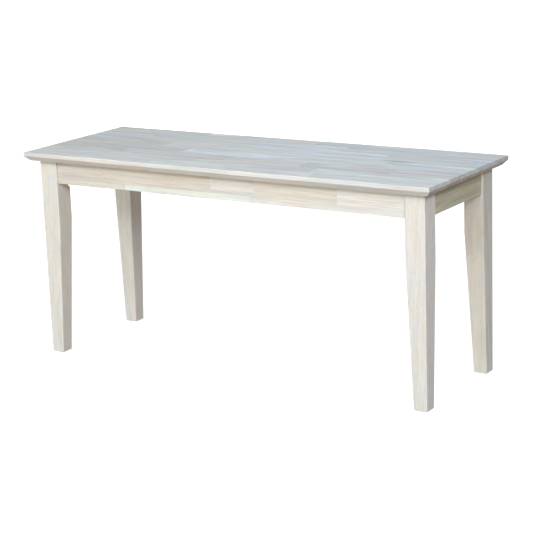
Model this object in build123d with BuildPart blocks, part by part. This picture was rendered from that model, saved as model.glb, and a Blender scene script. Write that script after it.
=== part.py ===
from build123d import *
import math
import os

os.makedirs("parts", exist_ok=True)

# Overall size of the bench, in millimetres
bench_length = 990.6
bench_depth = 355.6
bench_height = 457.2

# Seat: a board glued up from staves, with an upright edge above a bevel
seat_thickness = 19.05
seat_edge_height = 8.65
seat_bevel_run = 10.0
seat_top_radius = 1.5
seat_bevel_radius = 2.5
seat_end_overhang = 23.2
seat_side_overhang = 26.5
stave_count = 8

# Legs: square down to the taper, which cuts only the two inner faces
leg_width = 44.0
foot_width = 30.0
taper_start_height = 305.5
leg_arris_radius = 1.5
foot_chamfer = 1.0

# The flat on each leg's inner corner, which faces the corner block
leg_flat_width = 12.7
leg_flat_reach = 8.5
leg_flat_runout = 8.0

# Aprons: two strips glued edge to edge, set back from the legs' outer faces
apron_thickness = 19.05
apron_height = 51.5
apron_setback = 5.0
apron_lower_strip_height = 13.0
apron_arris_chamfer = 0.8

# Finger joints between the blocks of a strip
finger_count = 5
finger_length = 10.0
finger_tip_width = 0.6

# Corner blocks, which stand clear of the leg so that its bolt can draw it tight
corner_block_thickness = 25.4
corner_block_height = 38.0
draw_gap = 0.9

# Hanger bolts, washers and nuts
bolt_radius = 3.97
bolt_length = 76.2
bolt_wood_length = 38.1
bolt_point_length = 6.0
bolt_end_chamfer = 0.8
bolt_hole_clearance = 0.79
washer_radius = 8.73
washer_thickness = 1.6
washer_clearance = 0.4
nut_width = 12.7
nut_height = 6.75
nut_corner_drop = 0.9

# Screws, which all share one shank and one low round head
screw_radius = 2.08
screw_point_length = 4.5
screw_head_radius = 4.0
screw_head_height = 2.4
screw_hole_clearance = 0.3
counterbore_radius = 4.7
apron_screw_length = 25.4
apron_screw_grip = 10.0
seat_screw_length = 31.75
seat_screw_grip = 20.0
seat_screw_offset = 14.0
pocket_screw_length = 28.6
pocket_screw_grip = 16.0
pocket_screw_inset = 8.0
pocket_angle = 15

# Clearance of a thread in its pilot hole, and how much deeper the hole goes
thread_clearance = 0.1
pilot_extra_depth = 1.0

# One overrun for all cuts that pass right through
cut_overrun = 60.0

# Places of the finger joints as shares of the board's length, front stave first
seat_joint_shares = [
    (0.335, 0.535, 0.73),
    (0.26, 0.455, 0.71),
    (0.20, 0.48, 0.66, 0.87),
    (0.33, 0.60, 0.83),
    (0.25, 0.52, 0.81),
    (0.195, 0.44, 0.775),
    (0.15, 0.445, 0.65, 0.88),
    (0.27, 0.56, 0.91),
]

# The same along each apron, for its upper strip and then its lower strip
apron_joint_shares = {
    "front": [(0.146, 0.474, 0.60, 0.825), (0.215, 0.588, 0.923)],
    "right": [(), ()],
    "back": [(0.19, 0.42, 0.70), (0.33, 0.64, 0.86)],
    "left": [(), ()],
}

# Height of the screw into each apron, as a share of the corner block's height
apron_screw_height_share = 0.5

# Pocket screws along the long and the short aprons, as shares of their length
long_pocket_shares = (0.25, 0.53, 0.75)
short_pocket_shares = (0.5,)

# Levels above the floor
seat_underside = bench_height - seat_thickness
apron_bottom = seat_underside - apron_height
apron_glue_line = apron_bottom + apron_lower_strip_height
corner_block_bottom = seat_underside - corner_block_height
bolt_height = corner_block_bottom + corner_block_height / 2

# Plan of one corner, measured from the leg's outer corner
apron_inner_face = apron_setback + apron_thickness
leg_diagonal = leg_width * math.sqrt(2)
flat_distance = leg_diagonal - leg_flat_width / 2
block_near_distance = flat_distance + draw_gap
block_far_distance = block_near_distance + corner_block_thickness
block_near_end = block_near_distance * math.sqrt(2) - apron_inner_face
block_far_end = block_far_distance * math.sqrt(2) - apron_inner_face

# Frames on the floor at the legs' outer corners, with x along a side and y inward
half_frame_length = bench_length / 2 - seat_end_overhang
half_frame_depth = bench_depth / 2 - seat_side_overhang
corner_frames = {
    "front_left": Plane(origin=(-half_frame_length, -half_frame_depth, 0), x_dir=(1, 0, 0)),
    "front_right": Plane(origin=(half_frame_length, -half_frame_depth, 0), x_dir=(0, 1, 0)),
    "back_right": Plane(origin=(half_frame_length, half_frame_depth, 0), x_dir=(-1, 0, 0)),
    "back_left": Plane(origin=(-half_frame_length, half_frame_depth, 0), x_dir=(0, -1, 0)),
}

# Each apron starts at one corner and ends at the next, going round from the front
side_lengths = {
    "front": 2 * half_frame_length,
    "right": 2 * half_frame_depth,
    "back": 2 * half_frame_length,
    "left": 2 * half_frame_depth,
}
side_corners = {
    "front": ("front_left", "front_right"),
    "right": ("front_right", "back_right"),
    "back": ("back_right", "back_left"),
    "left": ("back_left", "front_left"),
}


def place(frame, x, y, z, turn=0, tilt_x=0, tilt_y=0):
    """A place in a frame's own directions, turned about its upright and then tilted."""
    spot = Location((x, y, z), (0, 0, turn))
    return frame.location * spot * Location((0, 0, 0), (tilt_x, tilt_y, 0))


def bolt_place(frame, distance):
    """A place on the bolt's axis, at a distance from the leg's outer corner, facing inward."""
    along = distance / math.sqrt(2)
    return place(frame, along, along, bolt_height, turn=45, tilt_y=90)


def apron_screw_seats(corner):
    """Head seats of a corner block's screws into its two aprons, facing inward."""
    frame = corner_frames[corner]
    middle = (block_near_end + block_far_end) / 2
    seat = apron_inner_face + apron_screw_grip
    height = corner_block_bottom + apron_screw_height_share * corner_block_height
    return [
        place(frame, middle, seat, height, tilt_x=-90),
        place(frame, seat, middle, height, tilt_y=90),
    ]


def seat_screw_seats(corner):
    """Head seats of a corner block's two screws into the bench seat, facing down."""
    middle = (block_near_distance + block_far_distance) / 2
    height = seat_underside - seat_screw_grip
    seats = []
    for side in (-1, 1):
        x = (middle + side * seat_screw_offset) / math.sqrt(2)
        y = (middle - side * seat_screw_offset) / math.sqrt(2)
        seats.append(place(corner_frames[corner], x, y, height, tilt_x=180))
    return seats


def pocket_screw_seats(side):
    """Head seats of an apron's pocket screws, facing down and inward at the pocket angle."""
    frame = corner_frames[side_corners[side][0]]
    clear_length = side_lengths[side] - 2 * leg_width
    shares = long_pocket_shares if side in ("front", "back") else short_pocket_shares
    lean = math.radians(pocket_angle)
    inward = apron_inner_face - pocket_screw_inset + pocket_screw_grip * math.sin(lean)
    height = seat_underside - pocket_screw_grip * math.cos(lean)
    return [
        place(frame, leg_width + share * clear_length, inward, height, tilt_x=180 + pocket_angle)
        for share in shares
    ]


def deeper(places, distance):
    """The same places, moved into the wood along the screws."""
    return [spot * Location((0, 0, -distance)) for spot in places]


def bore_screw_holes(seats, grip):
    """Clearance holes with counterbores whose flat floors are the head seats."""
    with Locations(*deeper(seats, -screw_head_height)):
        CounterBoreHole(
            screw_radius + screw_hole_clearance,
            counterbore_radius,
            screw_head_height,
            grip + cut_overrun,
        )


def bore_pilot_holes(seats, grip, length):
    """Blind pilot holes that start where the screws enter the second piece of wood."""
    with Locations(*deeper(seats, grip)):
        Hole(screw_radius + thread_clearance, depth=length - grip + pilot_extra_depth)


def finger_points(middle, low, high):
    """Points of one finger joint across a board, from its low face to its high face."""
    half_pitch = (high - low) / (2 * finger_count)
    points = []
    for step in range(2 * finger_count + 1):
        along = middle + finger_length / 2 * (-1) ** (step + 1)
        across = low + step * half_pitch
        points.append((along, max(low, across - finger_tip_width / 2)))
        points.append((along, min(high, across + finger_tip_width / 2)))
    return points


def board_blocks(blank, plane, start, end, joints, low, high, height):
    """Cuts one strip out of a blank, as separate blocks that mesh at their finger joints."""
    ends = [[(start, low), (start, high)]]
    ends += [finger_points(start + share * (end - start), low, high) for share in joints]
    ends += [[(end, low), (end, high)]]
    blocks = []
    for near, far in zip(ends[:-1], ends[1:]):
        with BuildPart() as block:
            add(blank)
            with BuildSketch(plane):
                with BuildLine():
                    Polyline(*near, *reversed(far), close=True)
                make_face()
            extrude(amount=height, mode=Mode.INTERSECT)
        blocks.append(block.part.solid())
    return blocks


def save_strip(name, blocks):
    """Writes the blocks of one glued strip as one sub-part of separate solids."""
    strip = Compound(label=name, children=blocks)
    export_step(strip, f"parts/{name}.step")


# The seat board before it is told apart into staves
with BuildPart() as seat_blank:
    with BuildSketch(Plane.XY.offset(seat_underside)):
        Rectangle(bench_length, bench_depth)
    extrude(amount=seat_thickness)
    underside = seat_blank.faces().sort_by(Axis.Z)[0]
    chamfer(
        underside.edges(),
        length=seat_bevel_run,
        length2=seat_thickness - seat_edge_height,
        reference=underside,
    )
    bevel_edges = seat_blank.edges().filter_by(Plane.XY).group_by(Axis.Z)[1]
    fillet(bevel_edges, radius=seat_bevel_radius)
    fillet(seat_blank.faces().sort_by(Axis.Z)[-1].edges(), radius=seat_top_radius)
    for corner in corner_frames:
        bore_pilot_holes(seat_screw_seats(corner), seat_screw_grip, seat_screw_length)
    for side in side_corners:
        bore_pilot_holes(pocket_screw_seats(side), pocket_screw_grip, pocket_screw_length)

# Seat staves, from the front to the back, each a row of finger-jointed blocks
stave_width = bench_depth / stave_count
for number in range(stave_count):
    back_face = (number + 1) * stave_width - bench_depth / 2
    save_strip(
        f"seat_stave_{number + 1}",
        board_blocks(
            seat_blank.part,
            Plane.XZ.offset(-back_face),
            -bench_length / 2,
            bench_length / 2,
            seat_joint_shares[number % len(seat_joint_shares)],
            seat_underside,
            bench_height,
            stave_width,
        ),
    )


def make_apron(side):
    """One apron, from the leg at its start to the leg at its end, as two strips of blocks."""
    start_corner, end_corner = side_corners[side]
    frame = corner_frames[start_corner]
    start = leg_width
    end = side_lengths[side] - leg_width
    with BuildPart() as board:
        with BuildSketch(frame.offset(apron_bottom)):
            with Locations((start, apron_setback)):
                Rectangle(end - start, apron_thickness, align=Align.MIN)
        extrude(amount=apron_height)
        lower_edges = board.edges().group_by(Axis.Z)[0].group_by(Edge.length)[-1]
        chamfer(lower_edges, length=apron_arris_chamfer)
        bore_screw_holes(pocket_screw_seats(side), pocket_screw_grip)
        end_screws = [apron_screw_seats(start_corner)[0], apron_screw_seats(end_corner)[1]]
        bore_pilot_holes(end_screws, apron_screw_grip, apron_screw_length)
    strips = {
        "upper": (apron_glue_line, seat_underside - apron_glue_line),
        "lower": (apron_bottom, apron_lower_strip_height),
    }
    for (strip, (level, height)), joints in zip(strips.items(), apron_joint_shares[side]):
        save_strip(
            f"{side}_apron_{strip}_strip",
            board_blocks(
                board.part,
                frame.offset(level),
                start,
                end,
                joints,
                apron_setback,
                apron_inner_face,
                height,
            ),
        )


for side in side_corners:
    make_apron(side)


def make_leg(corner):
    """One leg, tapered below on its inner faces, with a flat and a bolt hole at its inner corner."""
    frame = corner_frames[corner]
    flat_end = apron_bottom - leg_flat_reach
    diagonal_section = Plane(place(frame, 0, 0, 0, turn=45, tilt_x=90))
    with BuildPart() as leg:
        for level, width in ((0, foot_width), (taper_start_height, leg_width)):
            with BuildSketch(frame.offset(level)) as section:
                Rectangle(width, width, align=Align.MIN)
                fillet(section.vertices(), radius=leg_arris_radius)
        loft(ruled=True)
        extrude(leg.faces().sort_by(Axis.Z)[-1], amount=seat_underside - taper_start_height)
        chamfer(leg.faces().sort_by(Axis.Z)[0].edges(), length=foot_chamfer)
        with BuildSketch(diagonal_section):
            with BuildLine():
                Polyline(
                    (flat_distance, seat_underside),
                    (leg_diagonal, seat_underside),
                    (leg_diagonal, flat_end),
                    (flat_distance, flat_end + leg_flat_runout),
                    close=True,
                )
            make_face()
        extrude(amount=leg_flat_width, both=True, mode=Mode.SUBTRACT)
        with Locations(bolt_place(frame, flat_distance)):
            Hole(bolt_radius + thread_clearance, depth=bolt_wood_length + pilot_extra_depth)
    leg.part.label = f"{corner}_leg"
    export_step(leg.part, f"parts/{corner}_leg.step")


def make_corner_block(corner):
    """One corner block: its cut ends lie on two aprons and its near face looks at the leg."""
    frame = corner_frames[corner]
    with BuildPart() as block:
        with BuildSketch(frame.offset(corner_block_bottom)):
            with BuildLine():
                Polyline(
                    (block_near_end, apron_inner_face),
                    (block_far_end, apron_inner_face),
                    (apron_inner_face, block_far_end),
                    (apron_inner_face, block_near_end),
                    close=True,
                )
            make_face()
        extrude(amount=corner_block_height)
        with Locations(bolt_place(frame, block_far_distance)):
            Hole(bolt_radius + bolt_hole_clearance, depth=cut_overrun)
        bore_screw_holes(apron_screw_seats(corner), apron_screw_grip)
        bore_screw_holes(seat_screw_seats(corner), seat_screw_grip)
    block.part.label = f"{corner}_corner_block"
    export_step(block.part, f"parts/{corner}_corner_block.step")


for corner in corner_frames:
    make_leg(corner)
    make_corner_block(corner)

# One hanger bolt, its level 0 where the wood thread ends at the leg's flat
with BuildPart() as hanger_bolt:
    nut_end = bolt_length - bolt_wood_length
    with BuildSketch(Plane.XZ):
        with BuildLine():
            Polyline(
                (0, -bolt_wood_length),
                (bolt_radius, bolt_point_length - bolt_wood_length),
                (bolt_radius, nut_end - bolt_end_chamfer),
                (bolt_radius - bolt_end_chamfer, nut_end),
                (0, nut_end),
                close=True,
            )
        make_face()
    revolve(axis=Axis.Z)

# One flat washer, lying on level 0
with BuildPart() as washer:
    with BuildSketch():
        Circle(washer_radius)
        Circle(bolt_radius + washer_clearance, mode=Mode.SUBTRACT)
    extrude(amount=washer_thickness)

# One hexagon nut on level 0, with its corners turned off at both ends
with BuildPart() as nut:
    with BuildSketch():
        RegularPolygon(nut_width / 2, 6, major_radius=False)
    extrude(amount=nut_height)
    with BuildSketch(Plane.XZ):
        with BuildLine():
            corner_radius = nut_width / math.sqrt(3)
            Polyline(
                (0, 0),
                (nut_width / 2, 0),
                (corner_radius, nut_corner_drop),
                (corner_radius, nut_height - nut_corner_drop),
                (nut_width / 2, nut_height),
                (0, nut_height),
                close=True,
            )
        make_face()
    revolve(axis=Axis.Z, mode=Mode.INTERSECT)
    Hole(bolt_radius + thread_clearance)


def make_screw(length):
    """A wood screw, with the underside of its head on level 0 and its point below."""
    with BuildPart() as screw:
        with BuildSketch(Plane.XZ):
            with BuildLine():
                Polyline(
                    (0, screw_head_height),
                    (0, -length),
                    (screw_radius, screw_point_length - length),
                    (screw_radius, 0),
                    (screw_head_radius, 0),
                    (screw_head_radius, screw_head_height),
                    close=True,
                )
            make_face()
        revolve(axis=Axis.Z)
    return screw.part


def save_group(name, piece, places):
    """Writes one sub-part that holds the same fastener at each of its places."""
    with BuildPart() as group:
        with Locations(*places):
            add(piece)
    group.part.label = name
    export_step(group.part, f"parts/{name}.step")


frames = corner_frames.values()
washer_distance = block_far_distance
nut_distance = washer_distance + washer_thickness
save_group("hanger_bolts", hanger_bolt.part, [bolt_place(frame, flat_distance) for frame in frames])
save_group("hanger_bolt_washers", washer.part, [bolt_place(frame, washer_distance) for frame in frames])
save_group("hanger_bolt_nuts", nut.part, [bolt_place(frame, nut_distance) for frame in frames])
save_group(
    "corner_block_apron_screws",
    make_screw(apron_screw_length),
    [seat for corner in corner_frames for seat in apron_screw_seats(corner)],
)
save_group(
    "corner_block_seat_screws",
    make_screw(seat_screw_length),
    [seat for corner in corner_frames for seat in seat_screw_seats(corner)],
)
save_group(
    "apron_pocket_screws",
    make_screw(pocket_screw_length),
    [seat for side in side_corners for seat in pocket_screw_seats(side)],
)
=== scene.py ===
# %% [markdown]
# This lesson dresses a plain unfinished bench in a shaker style. The solid model
# of the bench is loaded first and is never changed: every stave, apron strip, leg
# and fastener is already there as its own object, standing at the origin with its
# place in its mesh. What is left to make here is what the eye reads as wood: the
# tones of the glued blocks, the grain, the pores, the sanded surface and the light.

# %% Load the bench
import itertools
import math

import bmesh
import bpy
from mathutils import Euler, Matrix, Vector


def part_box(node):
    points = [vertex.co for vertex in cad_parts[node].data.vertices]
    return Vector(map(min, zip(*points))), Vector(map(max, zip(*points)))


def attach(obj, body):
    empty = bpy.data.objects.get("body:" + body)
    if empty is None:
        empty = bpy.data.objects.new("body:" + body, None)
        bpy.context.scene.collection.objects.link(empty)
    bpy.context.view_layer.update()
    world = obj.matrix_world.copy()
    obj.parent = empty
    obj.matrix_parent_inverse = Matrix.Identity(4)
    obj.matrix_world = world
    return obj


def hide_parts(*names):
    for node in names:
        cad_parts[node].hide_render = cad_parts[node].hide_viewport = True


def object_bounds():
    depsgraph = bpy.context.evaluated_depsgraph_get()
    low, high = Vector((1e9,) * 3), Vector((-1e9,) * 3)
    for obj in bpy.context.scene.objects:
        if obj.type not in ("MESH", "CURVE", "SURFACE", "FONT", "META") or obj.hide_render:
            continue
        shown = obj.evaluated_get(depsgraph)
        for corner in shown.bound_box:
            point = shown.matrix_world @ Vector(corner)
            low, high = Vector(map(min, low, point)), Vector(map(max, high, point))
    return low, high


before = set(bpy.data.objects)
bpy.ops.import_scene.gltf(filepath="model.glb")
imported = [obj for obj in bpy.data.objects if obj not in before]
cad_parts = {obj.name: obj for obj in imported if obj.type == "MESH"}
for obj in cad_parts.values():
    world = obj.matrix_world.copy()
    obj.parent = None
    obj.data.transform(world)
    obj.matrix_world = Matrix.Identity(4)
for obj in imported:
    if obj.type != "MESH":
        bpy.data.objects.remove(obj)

# The frame is in metres, and a length times this is in millimetres
mm = 1000
solid_box = [list(corner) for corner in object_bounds()]
bench_low, bench_high = (Vector(corner) for corner in solid_box)
print("pieces loaded:", len(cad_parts))
print("bench size in mm:", [round(side * mm, 1) for side in bench_high - bench_low])


# %% [markdown]
# A colour picker gives sRGB values, but light is summed in linear values. One
# function turns a hex colour into the linear one that the shaders and lamps take,
# so every colour below can be written as the hex that a picker would show.

# %% Turn hex colours to linear
def linear(hex_colour):
    """The linear colour, with full alpha, of an sRGB hex value."""
    channels = [int(hex_colour[i : i + 2], 16) / 255 for i in (1, 3, 5)]
    # The two parts of the standard sRGB curve
    spread = [part / 12.92 if part <= 0.04045 else ((part + 0.055) / 1.055) ** 2.4 for part in channels]
    return (*spread, 1.0)


print("mid grey in linear:", round(linear("#808080")[0], 3))

# %% [markdown]
# The camera stands where the photographer stood: a little above the seat, in front
# of the bench and towards its right end, with a long lens from nearly 4 m away, so
# that the far legs are hardly smaller than the near ones. It could be placed by eye,
# but angles and a distance from the point it looks at are easier to match step by
# step. The picture is rolled by two degrees, and the lens is shifted a little,
# because the photograph was cropped off centre.

# %% Camera
photo_pixels = 533
sensor_width = 36.0
camera_azimuth = math.radians(32.69)
camera_elevation = math.radians(14.72)
camera_roll = math.radians(2.054)
camera_distance = 3.63
camera_target = Vector((0.02503, 0.0, 0.18526))
focal_pixels = 1689.8
principal_point = (272.53, 279.23)


def make_camera():
    """A camera at the photograph's place, turned and shifted like the photograph."""
    forward = Vector(
        (
            -math.sin(camera_azimuth) * math.cos(camera_elevation),
            math.cos(camera_azimuth) * math.cos(camera_elevation),
            -math.sin(camera_elevation),
        )
    )
    level_right = Vector((math.cos(camera_azimuth), math.sin(camera_azimuth), 0))
    level_up = level_right.cross(forward)
    right = level_right * math.cos(camera_roll) - level_up * math.sin(camera_roll)
    up = level_up * math.cos(camera_roll) + level_right * math.sin(camera_roll)
    lens = bpy.data.cameras.new("bench_camera")
    lens.sensor_width = sensor_width
    lens.lens = focal_pixels / photo_pixels * sensor_width
    lens.shift_x = (photo_pixels / 2 - principal_point[0]) / photo_pixels
    lens.shift_y = (principal_point[1] - photo_pixels / 2) / photo_pixels
    camera = bpy.data.objects.new("bench_camera", lens)
    turn = Matrix((right, up, -forward)).transposed().to_4x4()
    camera.matrix_world = Matrix.Translation(camera_target - forward * camera_distance) @ turn
    bpy.context.scene.collection.objects.link(camera)
    bpy.context.scene.camera = camera
    return camera


camera = make_camera()
print("camera at", [round(place, 2) for place in camera.location], "m")
print("lens", round(camera.data.lens, 1), "mm")

# %% [markdown]
# A shader is a net of small nodes. It could be drawn by hand in the editor, but in
# code it can be repeated for every piece. One function adds a node: it takes the
# kind, the inputs by name or number, each a value or another node's output, and any
# settings. A colour ramp also takes its stops, as pairs of a place and a colour.
# Everything below is wired with it, into a net that starts out blank.

# %% Add a node
def node(tree, kind, inputs=None, stops=(), blending="LINEAR", **settings):
    """Adds a shader node, fills or links its inputs and returns it."""
    made = tree.nodes.new("ShaderNode" + kind)
    for name, value in settings.items():
        setattr(made, name, value)
    if stops:
        ramp = made.color_ramp
        ramp.interpolation = blending
        ramp.elements.remove(ramp.elements[1])
        ramp.elements[0].position, ramp.elements[0].color = stops[0]
        for place, colour in stops[1:]:
            ramp.elements.new(place).color = colour
    for socket, value in (inputs or {}).items():
        if isinstance(value, bpy.types.NodeSocket):
            tree.links.new(value, made.inputs[socket])
        else:
            made.inputs[socket].default_value = value
    return made


def blank_material(name):
    """A new material with nothing in its net but the output."""
    material = bpy.data.materials.new(name)
    material.use_nodes = True
    for old in list(material.node_tree.nodes):
        if old.type != "OUTPUT_MATERIAL":
            material.node_tree.nodes.remove(old)
    return material


print("helpers:", node.__name__, "and", blank_material.__name__)

# %% [markdown]
# Raw wood is judged by its colour, so the picture is shown plainly, without a film
# curve: what a shader works out is what the eye gets, and white stays white. Two
# long, low softboxes stand in front, one at the height of the seat and one above it,
# so the front is the brightest side, and the overhang of the seat shades the top of
# the aprons. The right end gets less light, from higher up, and the left side some
# from a broad box. A weak box lifts the back. It stands low, so that it never rakes
# over the seat, and to the left, so that it misses the faces that look to the right.
# One large lamp would be simpler, but it couldn't give each side its own brightness.

# %% Studio light
bpy.context.scene.view_settings.view_transform = "Standard"
bpy.context.scene.view_settings.look = "None"
# Every lamp faces this place, which is at the height of the aprons
lamp_target = (0, 0, 0.4)


def softbox(name, place, width, height, colour, watts):
    """One rectangular studio lamp at a place, turned to face the bench."""
    lamp = bpy.data.lights.new(name, "AREA")
    lamp.shape = "RECTANGLE"
    lamp.size = width
    lamp.size_y = height
    lamp.color = linear(colour)[:3]
    lamp.energy = watts
    stand = bpy.data.objects.new(name, lamp)
    stand.location = place
    stand.rotation_euler = (Vector(lamp_target) - Vector(place)).to_track_quat("-Z", "Y").to_euler()
    bpy.context.scene.collection.objects.link(stand)
    return stand


softbox("low_front_softbox", (0, -3.0, 0.42), width=3.0, height=0.45, colour="#FBFFFE", watts=30.8)
softbox("raised_front_softbox", (0, -3.0, 1.82), width=3.0, height=0.45, colour="#EBF3FF", watts=50.5)
softbox("right_softbox", (2.2, -2.0, 1.8), width=1.4, height=0.8, colour="#F0F6FF", watts=48.1)
softbox("high_right_softbox", (2.6, -0.5, 2.4), width=1.4, height=0.8, colour="#C5DEFF", watts=16.9)
softbox("left_softbox", (-3.0, 0.2, 0.9), width=1.8, height=1.6, colour="#FFFEFF", watts=59.2)
softbox("low_back_softbox", (-1.7, 2.8, 0.3), width=1.6, height=0.4, colour="#FFFAF2", watts=30.0)
print("lamps:", [lamp.name for lamp in bpy.data.lights])

# %% [markdown]
# The rest of the studio could be built as walls, but it is only seen as a soft light
# on the wood, so it is painted on the sky around the bench. The ceiling, a large cool
# diffuser that makes the seat read cooler than the rest, starts 30 degrees up. The
# dark walls reach down to the horizon, and below it is the grey that a plain floor
# sends back.

# %% Studio room
ceiling_start = math.sin(math.radians(30))
# Each colour with the height at which it starts, from straight down at -1 to straight up at 1
room_colours = ((-1, "#ABA29F"), (0, "#000000"), (ceiling_start, "#C1CFE3"))


def studio_room():
    """The ceiling, walls and floor of the studio, as seen from the bench."""
    room = bpy.data.worlds.new("studio_room")
    room.use_nodes = True
    tree = room.node_tree
    direction = node(tree, "TexCoord")
    height = node(tree, "SeparateXYZ", {0: direction.outputs["Generated"]})
    share = node(tree, "MapRange", {"Value": height.outputs["Z"], "From Min": -1, "From Max": 1})
    stops = [((level + 1) / 2, linear(colour)) for level, colour in room_colours]
    colour = node(tree, "ValToRGB", {"Fac": share.outputs[0]}, stops, "CONSTANT")
    tree.links.new(colour.outputs["Color"], tree.nodes["Background"].inputs["Color"])
    return room


bpy.context.scene.world = studio_room()
print("room:", bpy.context.scene.world.name, "with", len(room_colours), "colours")

# %% [markdown]
# The floor is a sheet of white acrylic lit from below, as on a product table. A plain
# white floor would turn grey in the shade of the bench, but this one glows enough to
# show as white and takes only the faintest shadow at the feet. Seen from underneath it
# is clear, so that the bench can be looked at from there as well.

# %% Floor
floor_radius = 40.0
floor_sides = 96
acrylic_roughness = 0.7
acrylic_glow = 0.92


def lit_acrylic():
    """White acrylic, lit from below, which looks evenly bright and matt."""
    material = blank_material("lit_white_acrylic")
    tree = material.node_tree
    sheet = node(
        tree,
        "BsdfPrincipled",
        {
            "Base Color": linear("#8E8E8E"),
            "Roughness": acrylic_roughness,
            "Specular IOR Level": 0.0,
            "Emission Color": linear("#FFFFFF"),
            "Emission Strength": acrylic_glow,
        },
    )
    side = node(tree, "NewGeometry")
    clear = node(tree, "BsdfTransparent")
    sides = {0: side.outputs["Backfacing"], 1: sheet.outputs[0], 2: clear.outputs[0]}
    either = node(tree, "MixShader", sides)
    tree.links.new(either.outputs[0], tree.nodes["Material Output"].inputs["Surface"])
    return material


def make_floor():
    """A round floor at the bench's feet, wide enough to fill the picture."""
    angles = [2 * math.pi * i / floor_sides for i in range(floor_sides)]
    rim = [(floor_radius * math.cos(angle), floor_radius * math.sin(angle), 0) for angle in angles]
    mesh = bpy.data.meshes.new("studio_floor")
    mesh.from_pydata(rim, [], [list(range(floor_sides))])
    mesh.materials.append(lit_acrylic())
    floor = bpy.data.objects.new("studio_floor", mesh)
    bpy.context.scene.collection.objects.link(floor)
    # The grey of the room below lights the bench instead, as a plain floor would
    floor.visible_diffuse = False
    floor.visible_glossy = False
    return floor


floor = make_floor()
print("floor radius in m:", floor_radius, "corners:", len(floor.data.vertices))

# %% [markdown]
# A product studio has a white paper backdrop. A sheet behind the bench would do for
# one picture, but here it closes all round and over the bench, so that the picture
# stays white from any side and also from low down. Only the camera sees it: the light
# comes from the lamps and the room alone.

# %% Backdrop
def white_paper():
    """Plain white paper, so evenly lit that it shows no shade."""
    material = blank_material("evenly_lit_white_paper")
    tree = material.node_tree
    sheet = node(tree, "Emission", {"Color": linear("#FFFFFF"), "Strength": 1.0})
    tree.links.new(sheet.outputs[0], tree.nodes["Material Output"].inputs["Surface"])
    return material


def make_backdrop():
    """White paper all round the floor, as a closed shell in rings."""
    rings = floor_sides // 2
    net = bmesh.new()
    bmesh.ops.create_uvsphere(net, u_segments=floor_sides, v_segments=rings, radius=floor_radius)
    mesh = bpy.data.meshes.new("studio_backdrop")
    net.to_mesh(mesh)
    net.free()
    mesh.materials.append(white_paper())
    backdrop = bpy.data.objects.new("studio_backdrop", mesh)
    bpy.context.scene.collection.objects.link(backdrop)
    backdrop.visible_diffuse = False
    backdrop.visible_glossy = False
    backdrop.visible_transmission = False
    backdrop.visible_shadow = False
    return backdrop


backdrop = make_backdrop()
print("backdrop faces:", len(backdrop.data.polygons))

# %% [markdown]
# The wood is rubberwood, straight from the sander and with no finish on it: pale,
# even and matt, with short brown pore lines and soft growth bands. It was sawn into
# short blocks, and the blocks were finger-jointed end to end into strips and glued
# side by side, so neighbours differ a little in tone and their grain doesn't run on.
# Each block could get a random tone, but a few named ones are easier to match, as a
# joiner would sort the blocks into piles. They lie close together, because sorted
# rubberwood is close in colour.

# %% Tones of the blocks
tones = {
    "cream": "#D8D2C8",
    "pale": "#DBD6CD",
    "mist": "#DDDAD6",
    "rose": "#D9D1C8",
    "straw": "#D6D1C3",
    "olive": "#D1CDC2",
    "ash": "#D3CFC8",
    "fawn": "#D0C8C1",
    "brown": "#CEC7BC",
    "linen": "#DAD3C9",
    "shell": "#D1C6BA",
    "honey": "#D4C8B9",
    "buff": "#D6CDC0",
    "chalk": "#E3E1D6",
    "oat": "#DED6CA",
    "bone": "#D8D0C7",
    "wheat": "#E1DCD3",
    "sand": "#DAD1C4",
    "khaki": "#BEB49B",
    "flax": "#C4BA9E",
}
print("tones:", ", ".join(tones))

# %% [markdown]
# Every pattern below is drawn out along the grain, and the pieces lie all ways. Each
# pattern could be made once for every direction, but it is simpler to turn the places
# that the shader reads, so that the grain always runs along x, in millimetres. The
# same turn gives a piece's box in those directions.

# %% Lay a piece along its grain
lengthwise = (0, 0, 0)


def lay_along_grain(tree, turn):
    """The place that is being painted, in millimetres, with the grain along x."""
    spot = node(tree, "TexCoord")
    laid = node(tree, "Mapping", {"Vector": spot.outputs["Object"], "Rotation": turn, "Scale": (mm,) * 3})
    return laid.outputs[0]


def laid_box(name, turn):
    """The lowest and highest corner of a piece whose grain is laid along x."""
    box_corners = itertools.product(*zip(*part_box(name)))
    laid_corners = [Euler(turn).to_matrix() @ Vector(corner) * mm for corner in box_corners]
    directions = list(zip(*laid_corners))
    return Vector([min(places) for places in directions]), Vector([max(places) for places in directions])


first_stave_box = laid_box("seat_stave_1", lengthwise)
print("first stave in mm:", [[round(place) for place in corner] for corner in first_stave_box])

# %% [markdown]
# The joint between two blocks runs in a zigzag through the board, five fingers deep,
# and the solid blocks mesh along it. A material for each block would need a mesh for
# each block, so one shader follows the same zigzag, and the tones meet where the
# solids do. A saw-tooth of the depth shifts the place along the strip, and ramps that
# jump at each joint's share then give the block's tone and its number. A narrow step
# at each joint is the hairline of glue.

# %% Tell the blocks apart
finger_count = 5
finger_length = 10.0
# Glue in a finger joint is 0.1 mm thick and drawn at 0.5 mm, so that it shows at all
joint_line_width = 0.5
black, white = (0, 0, 0, 1), (1, 1, 1, 1)


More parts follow.
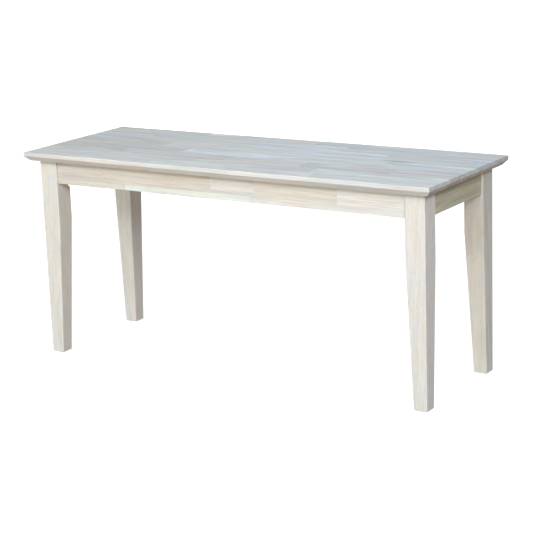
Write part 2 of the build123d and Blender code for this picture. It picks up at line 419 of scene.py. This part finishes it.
def block_ramps(tree, laid, low, high, zigzag_axis, blocks, joints):
    """Along a strip: the tone of each block, its number and the hairlines of the joints."""
    split = node(tree, "SeparateXYZ", {0: laid})
    axis = "XYZ".index(zigzag_axis)
    half_pitch = (high[axis] - low[axis]) / (2 * finger_count)
    depth = node(tree, "Math", {0: split.outputs[zigzag_axis], 1: low[axis]}, operation="SUBTRACT")
    wave = node(tree, "Math", {0: depth.outputs[0], 1: half_pitch}, operation="PINGPONG")
    slope = -finger_length / half_pitch
    lead = node(tree, "Math", {0: wave.outputs[0], 1: slope, 2: finger_length / 2}, operation="MULTIPLY_ADD")
    follow = node(tree, "Math", {0: split.outputs["X"], 1: lead.outputs[0]}, operation="ADD")
    share = node(tree, "MapRange", {"Value": follow.outputs[0], "From Min": low.x, "From Max": high.x})
    half_line = joint_line_width / 2 / (high.x - low.x)
    starts = [0, *joints]
    levels = [count / len(starts) for count in range(len(starts))]
    tone_stops = [(start, linear(tones[block])) for start, block in zip(starts, blocks)]
    number_stops = [(start, (level, level, level, 1)) for start, level in zip(starts, levels)]
    glue_stops = [(0, black)]
    for joint in joints:
        glue_stops += [(joint - half_line, white), (joint + half_line, black)]
    ramps = [
        node(tree, "ValToRGB", {"Fac": share.outputs[0]}, stops, "CONSTANT")
        for stops in (tone_stops, number_stops, glue_stops)
    ]
    return [ramp.outputs["Color"] for ramp in ramps]


print("fingers in a joint:", finger_count, "each", finger_length, "mm long")

# %% [markdown]
# Grain could be a picture of wood wrapped round each piece, but then top, edge and
# end would disagree. Here it is worked out in three dimensions, as in a real block.
# Grain never runs quite straight, so the places are first pushed sideways a little,
# by slow noise. The distance from the heart of the tree then gives the growth band.
# Each block gets its own place in the noise and its own heart, so that the pattern
# breaks at each finger joint.

# %% Growth bands, in millimetres
growth_band_width = 4.5
band_roughness = 0.6
grain_wander = (150.0, 30.0, 30.0)
grain_wander_depth = 4.0
heart_spread = 120.0
heart_depth = 35.0
# A trunk tapers, so its bands also climb slowly along it
trunk_taper = 0.03


def wandering_grain(tree, laid, block_seed):
    """The same places, pushed sideways a little, as grain wanders along a block."""
    slow = node(tree, "VectorMath", {0: laid, 1: [1 / size for size in grain_wander]}, operation="MULTIPLY")
    sway = node(
        tree,
        "TexNoise",
        {"Vector": slow.outputs[0], "W": block_seed, "Scale": 1.0, "Detail": 2.0},
        noise_dimensions="4D",
    )
    centred = node(tree, "VectorMath", {0: sway.outputs["Color"], 1: (0.5,) * 3}, operation="SUBTRACT")
    reach = (0, 2 * grain_wander_depth, 2 * grain_wander_depth)
    push = node(tree, "VectorMath", {0: centred.outputs[0], 1: reach, 2: laid}, operation="MULTIPLY_ADD")
    return push.outputs[0]


def growth_bands(tree, grain, block_seed, middle):
    """Light and dark growth bands, by the distance from the heart of the block's tree."""
    chance = node(tree, "TexWhiteNoise", {"W": block_seed}, noise_dimensions="1D")
    spread = (0, heart_spread, heart_spread)
    away = (0, -middle.y - heart_spread / 2, heart_depth - middle.z)
    heart = node(
        tree,
        "VectorMath",
        {0: chance.outputs["Color"], 1: spread, 2: away},
        operation="MULTIPLY_ADD",
    )
    from_heart = node(tree, "VectorMath", {0: grain, 1: heart.outputs[0]}, operation="ADD")
    in_section = node(tree, "VectorMath", {0: from_heart.outputs[0], 1: (0, 1, 1)}, operation="MULTIPLY")
    radius = node(tree, "VectorMath", {0: in_section.outputs[0]}, operation="LENGTH")
    along = node(tree, "SeparateXYZ", {0: grain})
    climbed = node(
        tree,
        "Math",
        {0: along.outputs["X"], 1: trunk_taper, 2: radius.outputs["Value"]},
        operation="MULTIPLY_ADD",
    )
    rings = node(
        tree,
        "Math",
        {0: climbed.outputs[0], 1: 1 / growth_band_width, 2: block_seed},
        operation="MULTIPLY_ADD",
    )
    bands = node(
        tree,
        "TexNoise",
        {"W": rings.outputs[0], "Scale": 1.0, "Detail": 2.0, "Roughness": band_roughness},
        noise_dimensions="1D",
    )
    return bands.outputs["Fac"]


print("growth bands in mm:", growth_band_width, "and the grain wanders by", grain_wander_depth)

# %% [markdown]
# Everything else in the wood is long and thin: broad streaks of sap and colour,
# bundles of fibres, and the pores, which a plane or a sander cuts open as short
# brown lines. They could be drawn as separate marks, but there are far too many, so
# one kind of noise, drawn out along the grain, serves them all, with a size in
# millimetres for each. A few boards also have a mineral streak, a dark line that
# minerals in the sap have left, often with a pale one beside it. Those have a place
# of their own, so each is a spindle between two points.

# %% Streaks, fibres and pores, in millimetres
# Fibres are far finer than a pixel here, so they are drawn as bundles 1.4 mm wide
fibre_bundle = (60.0, 1.4, 1.4)
# Pores are 0.2 mm wide and drawn at 0.9 mm, so that they show at this distance
pore_line = (26.0, 0.9, 0.9)
broad_streak = (180.0, 11.0, 11.0)
tint_patch = (120.0, 26.0, 26.0)
# Only the peaks of the noise are pores: none below the first value, all above the other
pore_peaks = (0.66, 0.74)
# A spindle is full out to this share of its half width and fades from there
spindle_core = 0.4


def drawn_out_noise(tree, grain, block_seed, size, detail):
    """Noise whose grains have a size in millimetres, longest along the grain."""
    fine = node(tree, "VectorMath", {0: grain, 1: [1 / part for part in size]}, operation="MULTIPLY")
    noise = node(
        tree,
        "TexNoise",
        {"Vector": fine.outputs[0], "W": block_seed, "Scale": 1.0, "Detail": detail},
        noise_dimensions="4D",
    )
    return noise.outputs["Fac"]


def open_pores(tree, grain, block_seed):
    """1 in a pore and 0 between the pores."""
    noise = drawn_out_noise(tree, grain, block_seed, pore_line, detail=0.0)
    marks = node(
        tree,
        "MapRange",
        {"Value": noise, "From Min": pore_peaks[0], "From Max": pore_peaks[1]},
        interpolation_type="SMOOTHSTEP",
    )
    return marks.outputs[0]


def spindle_streak(tree, grain, start, end, width):
    """1 along a spindle-shaped streak between two places on x and y, and 0 elsewhere."""
    (start_x, start_y), (end_x, end_y) = start, end
    middle = ((start_x + end_x) / 2, (start_y + end_y) / 2, 0)
    slant = math.atan2(end_y - start_y, end_x - start_x)
    size = (2 / math.hypot(end_x - start_x, end_y - start_y), 2 / width, 0)
    centred = node(tree, "VectorMath", {0: grain, 1: middle}, operation="SUBTRACT")
    straight = node(
        tree,
        "VectorRotate",
        {"Vector": centred.outputs[0], "Angle": -slant},
        rotation_type="Z_AXIS",
    )
    spindle = node(tree, "VectorMath", {0: straight.outputs[0], 1: size}, operation="MULTIPLY")
    radius = node(tree, "VectorMath", {0: spindle.outputs[0]}, operation="LENGTH")
    fade = {"From Min": spindle_core, "From Max": 1.0, "To Min": 1.0, "To Max": 0.0}
    mark = node(
        tree,
        "MapRange",
        {"Value": radius.outputs["Value"], **fade},
        interpolation_type="SMOOTHSTEP",
    )
    return mark.outputs[0]


print("a pore in mm:", pore_line, "and a bundle of fibres:", fibre_bundle)

# %% [markdown]
# End grain drinks the light and is darker, also where the bevel cuts it aslant.
# Hairlines of glue mark the joints and seams. Where an apron butts on a leg a fine dark line is drawn, partly
# for the hairline gap and partly as painted shade in the inner corner between apron and leg. All these could
# be modelled, but the solids already meet at the joints, so here a mark, 1 where it shows and 0 elsewhere, is
# enough.

# %% Marks on the wood
pore_darkness = 0.86
end_grain_darkness = 0.84
# How squarely a face cuts the grain: end grain starts to show at the first value and
# shows in full at the second
end_grain_lean = (0.3, 0.7)
joint_darkness = 0.92
# Glue lines are under 0.2 mm wide and drawn at 1.2 mm, so that they show at all
seam_width = 1.2
seam_darkness = 0.9
# The dark line where an apron meets a leg is partly its hairline gap and partly painted shade of the inner
# corner
gap_and_corner_shade_width = 1.2
gap_and_corner_shade_darkness = 0.55


def end_grain(tree, turn):
    """1 on faces that cut across the grain and 0 on faces along it."""
    face = node(tree, "NewGeometry")
    laid_normal = node(
        tree,
        "VectorRotate",
        {"Vector": face.outputs["Normal"], "Rotation": turn},
        rotation_type="EULER_XYZ",
    )
    along = node(tree, "SeparateXYZ", {0: laid_normal.outputs[0]})
    facing = node(tree, "Math", {0: along.outputs["X"]}, operation="ABSOLUTE")
    cut = node(
        tree,
        "MapRange",
        {"Value": facing.outputs[0], "From Min": end_grain_lean[0], "From Max": end_grain_lean[1]},
        interpolation_type="SMOOTHSTEP",
    )
    return cut.outputs[0]


def hairline(tree, laid, direction, place, width):
    """1 within a line across one direction and 0 elsewhere."""
    spot = node(tree, "SeparateXYZ", {0: laid})
    away = node(tree, "Math", {0: spot.outputs[direction], 1: place}, operation="SUBTRACT")
    distance = node(tree, "Math", {0: away.outputs[0]}, operation="ABSOLUTE")
    return node(tree, "Math", {0: distance.outputs[0], 1: width / 2}, operation="LESS_THAN").outputs[0]


print("seams and gaps are drawn in mm as:", seam_width, gap_and_corner_shade_width)

# %% [markdown]
# Each pattern and mark makes the wood a little lighter or darker. They could be mixed
# in as colours, but then each would pull the tone of the block its own way, so each
# becomes a factor near 1, and their product is how light the wood is.

# %% Light and dark of the wood
pattern_depths = {"streaks": 0.07, "bands": 0.05, "fibres": 0.05}
# Noise hardly ever leaves this range
noise_range = (0.3, 0.7)


def light_of_wood(tree, patterns, figure, marks):
    """How light the wood is: the product of its patterns and its marks."""
    light = 1.0
    for part, depth in pattern_depths.items():
        swing = depth * figure
        limits = {"From Min": noise_range[0], "From Max": noise_range[1]}
        limits |= {"To Min": 1 - swing, "To Max": 1 + swing}
        change = node(tree, "MapRange", {"Value": patterns[part], **limits})
        light = node(tree, "Math", {0: light, 1: change.outputs[0]}, operation="MULTIPLY").outputs[0]
    for mark, darkness in marks:
        change = node(tree, "MapRange", {"Value": mark, "To Min": 1.0, "To Max": darkness})
        light = node(tree, "Math", {0: light, 1: change.outputs[0]}, operation="MULTIPLY").outputs[0]
    return light


print("depth of each pattern:", pattern_depths)

# %% [markdown]
# Very faint tints drift through real wood: rosy, straw-coloured, grey-green and grey.
# They could be painted by hand, but a slow noise through a ramp of colours gives them
# to every board. The colours of the ramp are all nearly white, because they are
# multiplied over the tone of the block.

# %% Faint tints
tint_colours = ((0.30, "#FFFAF6"), (0.43, "#FFFDF3"), (0.57, "#FAFFFA"), (0.70, "#F8FAFD"))
tint_strength = 0.75


def tinted(tree, tone, grain, block_seed):
    """The tone of the block with faint tints drifting through it."""
    drift = drawn_out_noise(tree, grain, block_seed, tint_patch, detail=1.0)
    stops = [(place, linear(colour)) for place, colour in tint_colours]
    tint = node(tree, "ValToRGB", {"Fac": drift}, stops)
    # A Mix node takes its two colours at inputs 6 and 7, and output 2 is their mix
    mixed = node(
        tree,
        "Mix",
        {0: tint_strength, 6: tone, 7: tint.outputs["Color"]},
        data_type="RGBA",
        blend_type="MULTIPLY",
    )
    return mixed.outputs[2]


print("tints:", [colour for place, colour in tint_colours])

# %% [markdown]
# Sanding leaves the wood matt, with a roughness between 0.55 and 0.72, and wood
# commonly has an index of refraction of 1.5. It also leaves the pores open and the
# fibres a little proud. That relief is far too fine for a mesh, so it is a bump, which
# shows when light rakes over the surface.

# %% Sanded surface
sanded_roughness = (0.55, 0.72)
wood_ior = 1.5
# The relief is 0.2 mm deep, given in metres, and the pores sink into it
relief_depth = 0.0002
relief_strength = 0.35
pore_sink = 0.7


def sanded_surface(tree, colour, pores, fibres):
    """The shader of sanded wood, matt, with open pores and slightly proud fibres."""
    height = node(tree, "Math", {0: pores, 1: -pore_sink, 2: fibres}, operation="MULTIPLY_ADD")
    surface = {"Height": height.outputs[0], "Strength": relief_strength, "Distance": relief_depth}
    relief = node(tree, "Bump", surface)
    smooth, coarse = sanded_roughness
    rough = node(tree, "MapRange", {"Value": fibres, "To Min": smooth, "To Max": coarse})
    wood = node(
        tree,
        "BsdfPrincipled",
        {
            "Base Color": colour,
            "Roughness": rough.outputs[0],
            "IOR": wood_ior,
            "Normal": relief.outputs[0],
        },
    )
    return wood.outputs[0]


print("sanded wood has a roughness of", *sanded_roughness, "and an index of refraction of", wood_ior)

# %% [markdown]
# Now the parts come together as sanded, unfinished rubberwood: pale and matt, with
# soft grain that follows the blocks. One material could serve all pieces, but then all
# would be cut from one board, so each piece has a material that names its own. Where a
# piece was sawn a little aslant, the grain runs out of its faces and the marks on them
# are shorter.

# %% Sanded rubberwood
# How far apart boards, and the blocks of a strip, lie in the noise
board_step = 5.3
block_step = 37.0


def sanded_rubberwood(
    name,
    board,
    turn,
    blocks,
    joints=(),
    zigzag_axis="Y",
    seams=(),
    figure=1.0,
    mark_length=1.0,
    own_marks=None,
):
    """Unfinished rubberwood, sanded fine, for the named piece.

    board is the number of the board that the piece is cut from, and turn lays its
    grain along x. blocks names the tones, joints gives their shares of the length,
    and zigzag_axis is the direction through which the fingers mesh. seams are pairs
    of a direction and the place of a glue line. figure is how strongly the grain
    shows, and mark_length is the length of its marks beside the usual. own_marks may
    add marks of the piece's own, as pairs of a mark and its darkness.
    """
    material = blank_material(f"sanded_rubberwood_{name}")
    tree = material.node_tree
    low, high = laid_box(name, turn)
    laid = lay_along_grain(tree, turn)
    marks = [(end_grain(tree, turn), end_grain_darkness)]
    tone, block_seed = linear(tones[blocks[0]]), board * board_step
    if joints:
        tone, number, glue = block_ramps(tree, laid, low, high, zigzag_axis, blocks, joints)
        seeds = {0: number, 1: block_step, 2: block_seed}
        block_seed = node(tree, "Math", seeds, operation="MULTIPLY_ADD").outputs[0]
        marks.append((glue, joint_darkness))
    wander = wandering_grain(tree, laid, block_seed)
    shortened = node(tree, "VectorMath", {0: wander, 1: (1 / mark_length, 1, 1)}, operation="MULTIPLY")
    grain = shortened.outputs[0]
    fibres = drawn_out_noise(tree, grain, block_seed, fibre_bundle, detail=3.0)
    pores = open_pores(tree, grain, block_seed)
    marks.append((pores, pore_darkness))
    marks += [(hairline(tree, laid, *seam, seam_width), seam_darkness) for seam in seams]
    if own_marks:
        marks += own_marks(tree, wander, laid, low, high)
    patterns = {
        "streaks": drawn_out_noise(tree, grain, block_seed, broad_streak, detail=2.0),
        "bands": growth_bands(tree, wander, block_seed, (low + high) / 2),
        "fibres": fibres,
    }
    light = light_of_wood(tree, patterns, figure, marks)
    tint = tinted(tree, tone, grain, block_seed)
    colour = node(tree, "VectorMath", {0: tint, "Scale": light}, operation="SCALE").outputs[0]
    wood = sanded_surface(tree, colour, pores, fibres)
    tree.links.new(wood, tree.nodes["Material Output"].inputs["Surface"])
    return material


print("in the noise, boards lie", board_step, "apart and the blocks of a strip", block_step)

# %% [markdown]
# Every piece of the bench needs a finish, and the solids come with plain ones. A
# solid's material may be swapped while its mesh stays untouched, so dressing a piece
# is taking its old material off and putting the new one on.

# %% Dress a piece
shown_pieces = dict(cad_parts)


def dress(name, material):
    """Gives a piece of the bench its material."""
    piece = shown_pieces[name]
    piece.data.materials.clear()
    piece.data.materials.append(material)


print("pieces to dress:", len(shown_pieces))

# %% [markdown]
# The seat is eight staves, front to back. Each joint's share of the length is the
# place where two blocks meet, as on the solid model. The blocks' tones could be drawn
# by chance, but the eye knows the seat by its light and dark blocks, so each is named:
# the left third is a little browner, and the middle has the palest blocks. The fifth
# stave has a mineral streak near its back edge, towards the right, and a pale streak
# in front of it.

# %% Seat staves
seat_joint_shares = [
    (0.335, 0.535, 0.73),
    (0.26, 0.455, 0.71),
    (0.20, 0.48, 0.66, 0.87),
    (0.33, 0.60, 0.83),
    (0.25, 0.52, 0.81),
    (0.195, 0.44, 0.775),
    (0.15, 0.445, 0.65, 0.88),
    (0.27, 0.56, 0.91),
]
seat_blocks = [
    ("bone", "pale", "linen", "ash"),
    ("cream", "cream", "rose", "pale"),
    ("brown", "fawn", "rose", "fawn", "fawn"),
    ("brown", "mist", "pale", "ash"),
    ("brown", "cream", "pale", "ash"),
    ("ash", "cream", "mist", "ash"),
    ("ash", "cream", "mist", "ash", "ash"),
    ("olive", "linen", "ash", "fawn"),
]
seat_boards = (601, 602, 603, 304, 405, 1706, 7, 108)
seat_figure = 2.0
edge_figure = 1.3
# A side of a stave this near the seat's edge, in millimetres, has no neighbour
edge_reach = 1.0
streaked_stave = 5
# Where the streaks start and end, in millimetres along and across the seat
mineral_streak = {"start": (268.0, 29.0), "end": (372.0, 38.0), "width": 14.0}
mineral_streak_darkness = 0.6
pale_streak = {"start": (318.0, 22.0), "end": (392.0, 19.5), "width": 9.0}
pale_streak_lightness = 1.13


def fifth_stave_streaks(tree, grain, laid, low, high):
    """The mineral streak of the fifth stave and the pale one beside it."""
    return [
        (spindle_streak(tree, grain, **mineral_streak), mineral_streak_darkness),
        (spindle_streak(tree, grain, **pale_streak), pale_streak_lightness),
    ]


staves = zip(seat_joint_shares, seat_blocks, seat_boards)
for count, (joints, blocks, board) in enumerate(staves, start=1):
    name = f"seat_stave_{count}"
    low, high = laid_box(name, lengthwise)
    sides = ((low.y, bench_low.y), (high.y, bench_high.y))
    seams = [("Y", side) for side, seat_edge in sides if abs(side - seat_edge * mm) > edge_reach]
    # The first stave carries the long front edge, which is calmer than the top
    figure = edge_figure if count == 1 else seat_figure
    streaks = fifth_stave_streaks if count == streaked_stave else None
    wood = sanded_rubberwood(name, board, lengthwise, blocks, joints, "Z", seams, figure, own_marks=streaks)
    dress(name, wood)
print("staves dressed:", len(seat_blocks))

# %% [markdown]
# Each apron is two strips glued edge to edge. Here the fingers mesh through the thickness, so a joint shows
# as a straight upright line on the face and as a zigzag underneath. The same material serves, laid along each
# apron by its own turn, which is less work than a material for each side. The lower front strip is the paler
# one, and the end aprons are browner and more strongly marked. At the ends, where they butt on the legs, a
# dark line is drawn: partly the hairline gap, partly painted shade in the corner between apron and leg.

# %% Aprons
quarter_turn = math.pi / 2
apron_turns = {
    "front": lengthwise,
    "right": (0, 0, -quarter_turn),
    "back": (0, 0, 2 * quarter_turn),
    "left": (0, 0, quarter_turn),
}
# For each side the upper strip comes first, then the lower one
apron_blocks = {
    "front": [("shell", "honey", "bone", "buff", "linen"), ("buff", "chalk", "rose", "ash")],
    "right": [("khaki",), ("flax",)],
    "back": [("cream", "shell", "buff", "linen"), ("linen", "buff", "cream", "chalk")],
    "left": [("straw",), ("olive",)],
}
apron_joint_shares = {
    "front": [(0.146, 0.474, 0.60, 0.825), (0.215, 0.588, 0.923)],
    "right": [(), ()],
    "back": [(0.19, 0.42, 0.70), (0.33, 0.64, 0.86)],
    "left": [(), ()],
}
apron_boards = {"front": (221, 1222), "right": (1623, 324), "back": (25, 26), "left": (27, 28)}
long_apron_figure = 1.5
end_apron_figure = 2.5


# Painted shade: this line stands partly for the gap and partly for the shade in the corner where apron meets
# leg
def butted_end_gaps_and_corner_shade(tree, grain, laid, low, high):
    """The dark lines where an apron's ends butt on the legs: partly the gaps, partly painted shade in the
    corners.
    """
    return [(hairline(tree, laid, "X", end, gap_and_corner_shade_width), gap_and_corner_shade_darkness) for end in (low.x, high.x)]


for side, turn in apron_turns.items():
    strips = zip(("upper", "lower"), apron_blocks[side], apron_joint_shares[side], apron_boards[side])
    for strip, blocks, joints, board in strips:
        name = f"{side}_apron_{strip}_strip"
        low, high = laid_box(name, turn)
        # The end aprons' strips match so well that no glue line shows between them
        seams = [("Z", low.z if strip == "upper" else high.z)] if joints else []
        figure = long_apron_figure if joints else end_apron_figure
        wood = sanded_rubberwood(name, board, turn, blocks, joints, "Y", seams, figure, own_marks=butted_end_gaps_and_corner_shade)
        dress(name, wood)
print("apron strips dressed:", 2 * len(apron_turns))

# %% [markdown]
# Each leg has a flat on its inner corner, for its hanger bolt. In the photograph the
# flat's lower end shows just under the apron of the front left leg, as a corner cut
# off aslant, but on the solid legs it ends 6 mm higher, where the apron hides it. A
# solid is never changed, so a copy will stand for each leg, with its flat cut further
# down. The cut could be made by moving single points, but a Boolean with a wedge makes
# it in one clean step. This cell makes the wedge.

# %% Wedge for the flats, in metres
leg_width = 0.044
flat_width = 0.0127
flat_end_height = 0.3712
flat_runout = 0.008
wedge_top = 0.386
wedge_overrun = 0.002


def wedge_section():
    """The wedge's side: how far each corner is from the leg's outer corner, and how high."""
    tip = leg_width * math.sqrt(2)
    flat = tip - flat_width / 2
    slope = flat_runout / (flat_width / 2)
    return (
        (flat, wedge_top),
        (tip + wedge_overrun, wedge_top),
        (tip + wedge_overrun, flat_end_height - wedge_overrun * slope),
        (flat, flat_end_height + flat_runout),
    )


def flat_wedge(name):
    """A wedge over a leg's inner corner, with the slope on which the flat runs out."""
    outer_x, outer_y, _ = (max(sides, key=abs) for sides in zip(*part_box(name)))
    inward = Vector((-math.copysign(1, outer_x), -math.copysign(1, outer_y), 0)).normalized()
    across = Vector((inward.y, -inward.x, 0))
    net = bmesh.new()
    sides = []
    for shift in (-flat_width, flat_width):
        side = []
        for reach, height in wedge_section():
            place = Vector((outer_x, outer_y, height)) + inward * reach + across * shift
            side.append(net.verts.new(place))
        net.faces.new(side)
        sides.append(side)
    near, far = sides
    for i in range(len(near)):
        net.faces.new((near[i - 1], near[i], far[i], far[i - 1]))
    bmesh.ops.recalc_face_normals(net, faces=net.faces)
    mesh = bpy.data.meshes.new("flat_wedge")
    net.to_mesh(mesh)
    net.free()
    wedge = bpy.data.objects.new("flat_wedge", mesh)
    bpy.context.scene.collection.objects.link(wedge)
    return wedge


print("the flats end at mm:", flat_end_height * mm)

# %% [markdown]
# The copy of a leg starts from the solid's own points, so that its taper, its
# softened arrises and its foot stay as they are. The solid comes split along its
# sharp edges, so the copy is welded into one closed skin before the wedge cuts it.
# The faces could be shaded flat, but then the arrises would show facets. Weighted
# normals keep the long faces flat and the softened arrises round.

# %% Legs with longer flats
corners = ("front_left", "front_right", "back_right", "back_left")
weld_distance = 1e-6
# Edges that turn more sharply than this stay crisp
sharpest_round = math.radians(30)


def apply_modifiers(piece):
    """Makes what a piece's modifiers do a part of its mesh."""
    evaluated = piece.evaluated_get(bpy.context.evaluated_depsgraph_get())
    shaped = bpy.data.meshes.new_from_object(evaluated)
    piece.modifiers.clear()
    piece.data = shaped


def welded_copy(name):
    """A copy of a solid's mesh, welded where it was split."""
    net = bmesh.new()
    net.from_mesh(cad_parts[name].data)
    bmesh.ops.remove_doubles(net, verts=net.verts, dist=weld_distance)
    mesh = bpy.data.meshes.new(f"{name}_with_long_flat")
    net.to_mesh(mesh)
    net.free()
    # The normals of the split mesh don't fit the welded one
    mesh.attributes.remove(mesh.attributes["custom_normal"])
    return mesh


def leg_with_long_flat(name):
    """A copy of a leg with its flat cut further down, to stand for the leg."""
    piece = bpy.data.objects.new(f"{name}_with_long_flat", welded_copy(name))
    bpy.context.scene.collection.objects.link(piece)
    wedge = flat_wedge(name)
    cut = piece.modifiers.new("long_flat", "BOOLEAN")
    cut.operation = "DIFFERENCE"
    cut.object = wedge
    apply_modifiers(piece)
    bpy.data.objects.remove(wedge)
    piece.data.shade_smooth()
    piece.data.set_sharp_from_angle(angle=sharpest_round)
    piece.modifiers.new("flat_faces", "WEIGHTED_NORMAL").keep_sharp = True
    apply_modifiers(piece)
    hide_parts(name)
    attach(piece, "root")
    return piece


for corner in corners:
    name = f"{corner}_leg"
    shown_pieces[name] = leg_with_long_flat(name)
    print(name, "is now", shown_pieces[name].name, "faces:", len(shown_pieces[name].data.polygons))

# %% [markdown]
# The legs are single lengths with upright grain, planed square, tapered and sanded.
# They could share one tone, but each came from another board, so each has its own.
# They were sawn aslant to the grain and then tapered, so their marks are short. The back right leg has
# painted shade that grows towards its top, under the apron and the seat, and a painted highlight in a strip
# at the top of its front face, along the outer edge, where light from the right front falls. Laying a leg
# along x turns it by a quarter about y, which puts its height on x and its width on z.

# %% Legs
upright = (0, quarter_turn, 0)
leg_tones = {"front_left": "oat", "front_right": "bone", "back_right": "sand", "back_left": "wheat"}
leg_boards = {"front_left": 140, "front_right": 741, "back_right": 1642, "back_left": 1843}
leg_mark_length = 0.4
leg_figure = 0.85
# Painted shade darkens the back right leg's top, and a painted highlight lightens a strip at its outer front
# edge
painted_top_shade_darkness = 0.85
edge_highlight_lightness = 1.1
# Where the painted highlight strip starts and ends, in millimetres from the leg's outer side
edge_highlight_strip = (1.0, 6.0)
# The heights, in millimetres, between which the painted highlight comes in
edge_highlight_rise = (350.0, 392.0)


def painted_top_shade_and_edge_highlight(tree, grain, laid, low, high):
    """For the back right leg: painted shade that grows towards the top, beside a strip of painted highlight.
    """
    start, end = edge_highlight_strip
    strip = hairline(tree, laid, "Z", low.z + (start + end) / 2, end - start)
    height = node(tree, "SeparateXYZ", {0: laid}).outputs["X"]
    rise = node(
        tree,
        "MapRange",
        {"Value": height, "From Min": edge_highlight_rise[0], "From Max": edge_highlight_rise[1]},
        interpolation_type="SMOOTHSTEP",
    )
    edge_highlight = node(tree, "Math", {0: strip, 1: rise.outputs[0]}, operation="MULTIPLY").outputs[0]
    share = node(tree, "MapRange", {"Value": height, "From Min": low.x, "From Max": high.x})
    shade = node(tree, "Math", {0: share.outputs[0], 1: edge_highlight}, operation="SUBTRACT", use_clamp=True)
    return [(shade.outputs[0], painted_top_shade_darkness), (edge_highlight, edge_highlight_lightness)]


for corner in corners:
    name = f"{corner}_leg"
    look = {"figure": leg_figure, "mark_length": leg_mark_length}
    # Only the back right leg gets the painted shade and the painted highlight
    if corner == "back_right":
        look["own_marks"] = painted_top_shade_and_edge_highlight
    dress(name, sanded_rubberwood(name, leg_boards[corner], upright, (leg_tones[corner],), **look))
print("legs dressed:", len(corners))

# %% [markdown]
# The corner blocks sit inside, behind the aprons, and brace each corner for its
# hanger bolt. They are offcuts of the same wood, so the same material serves rather
# than one of their own. Their grain runs across the corner, an eighth of a turn from
# the bench's length.

# %% Corner blocks
eighth_turn = math.pi / 4
block_turns = {
    "front_left": eighth_turn,
    "front_right": -eighth_turn,
    "back_right": eighth_turn,
    "back_left": -eighth_turn,
}
block_boards = {"front_left": 50, "front_right": 51, "back_right": 52, "back_left": 53}
block_figure = 1.3

for corner in corners:
    name = f"{corner}_corner_block"
    laid_turn = (0, 0, block_turns[corner])
    dress(name, sanded_rubberwood(name, block_boards[corner], laid_turn, ("straw",), figure=block_figure))
print("corner blocks dressed:", len(corners))

# %% [markdown]
# Bolts, washers, nuts and screws are steel with a bright zinc plate. The plate is a
# soft blue-white metal that tumbling has scuffed, so its gloss is uneven and faint
# cloudy patches show in it. One even grey would look like plastic, so a fine noise
# drives both its colour and its roughness.

# %% Fasteners
zinc_cloud_size = 2.5
zinc_cloud_detail = 4.0
zinc_tones = ("#B9BCBF", "#D6D8DA")
zinc_roughness = (0.25, 0.45)


def bright_zinc_plate():
    """Electroplated zinc on steel: a pale metal with a slightly clouded gloss."""
    material = blank_material("bright_zinc_plate")
    tree = material.node_tree
    spot = node(tree, "TexCoord")
    cloud_scale = mm / zinc_cloud_size
    size = {"Scale": cloud_scale, "Detail": zinc_cloud_detail}
    clouds = node(tree, "TexNoise", {"Vector": spot.outputs["Object"], **size})
    stops = [(place, linear(tone)) for place, tone in enumerate(zinc_tones)]
    colour = node(tree, "ValToRGB", {"Fac": clouds.outputs["Fac"]}, stops)
    glossy, dull = zinc_roughness
    rough = node(tree, "MapRange", {"Value": clouds.outputs["Fac"], "To Min": glossy, "To Max": dull})
    plate = node(
        tree,
        "BsdfPrincipled",
        {"Base Color": colour.outputs[0], "Metallic": 1.0, "Roughness": rough.outputs[0]},
    )
    tree.links.new(plate.outputs[0], tree.nodes["Material Output"].inputs["Surface"])
    return material


fasteners = (
    "hanger_bolts",
    "hanger_bolt_washers",
    "hanger_bolt_nuts",
    "corner_block_apron_screws",
    "corner_block_seat_screws",
    "apron_pocket_screws",
)
zinc = bright_zinc_plate()
for name in fasteners:
    dress(name, zinc)
print("fastener groups dressed:", len(fasteners))

# %% [markdown]
# The size of the bench could be measured by eye in the picture, but numbers are surer: the box of the solids,
# as loaded, is written out.

# %% Write out the size of the solids
print("solid box:", solid_box)
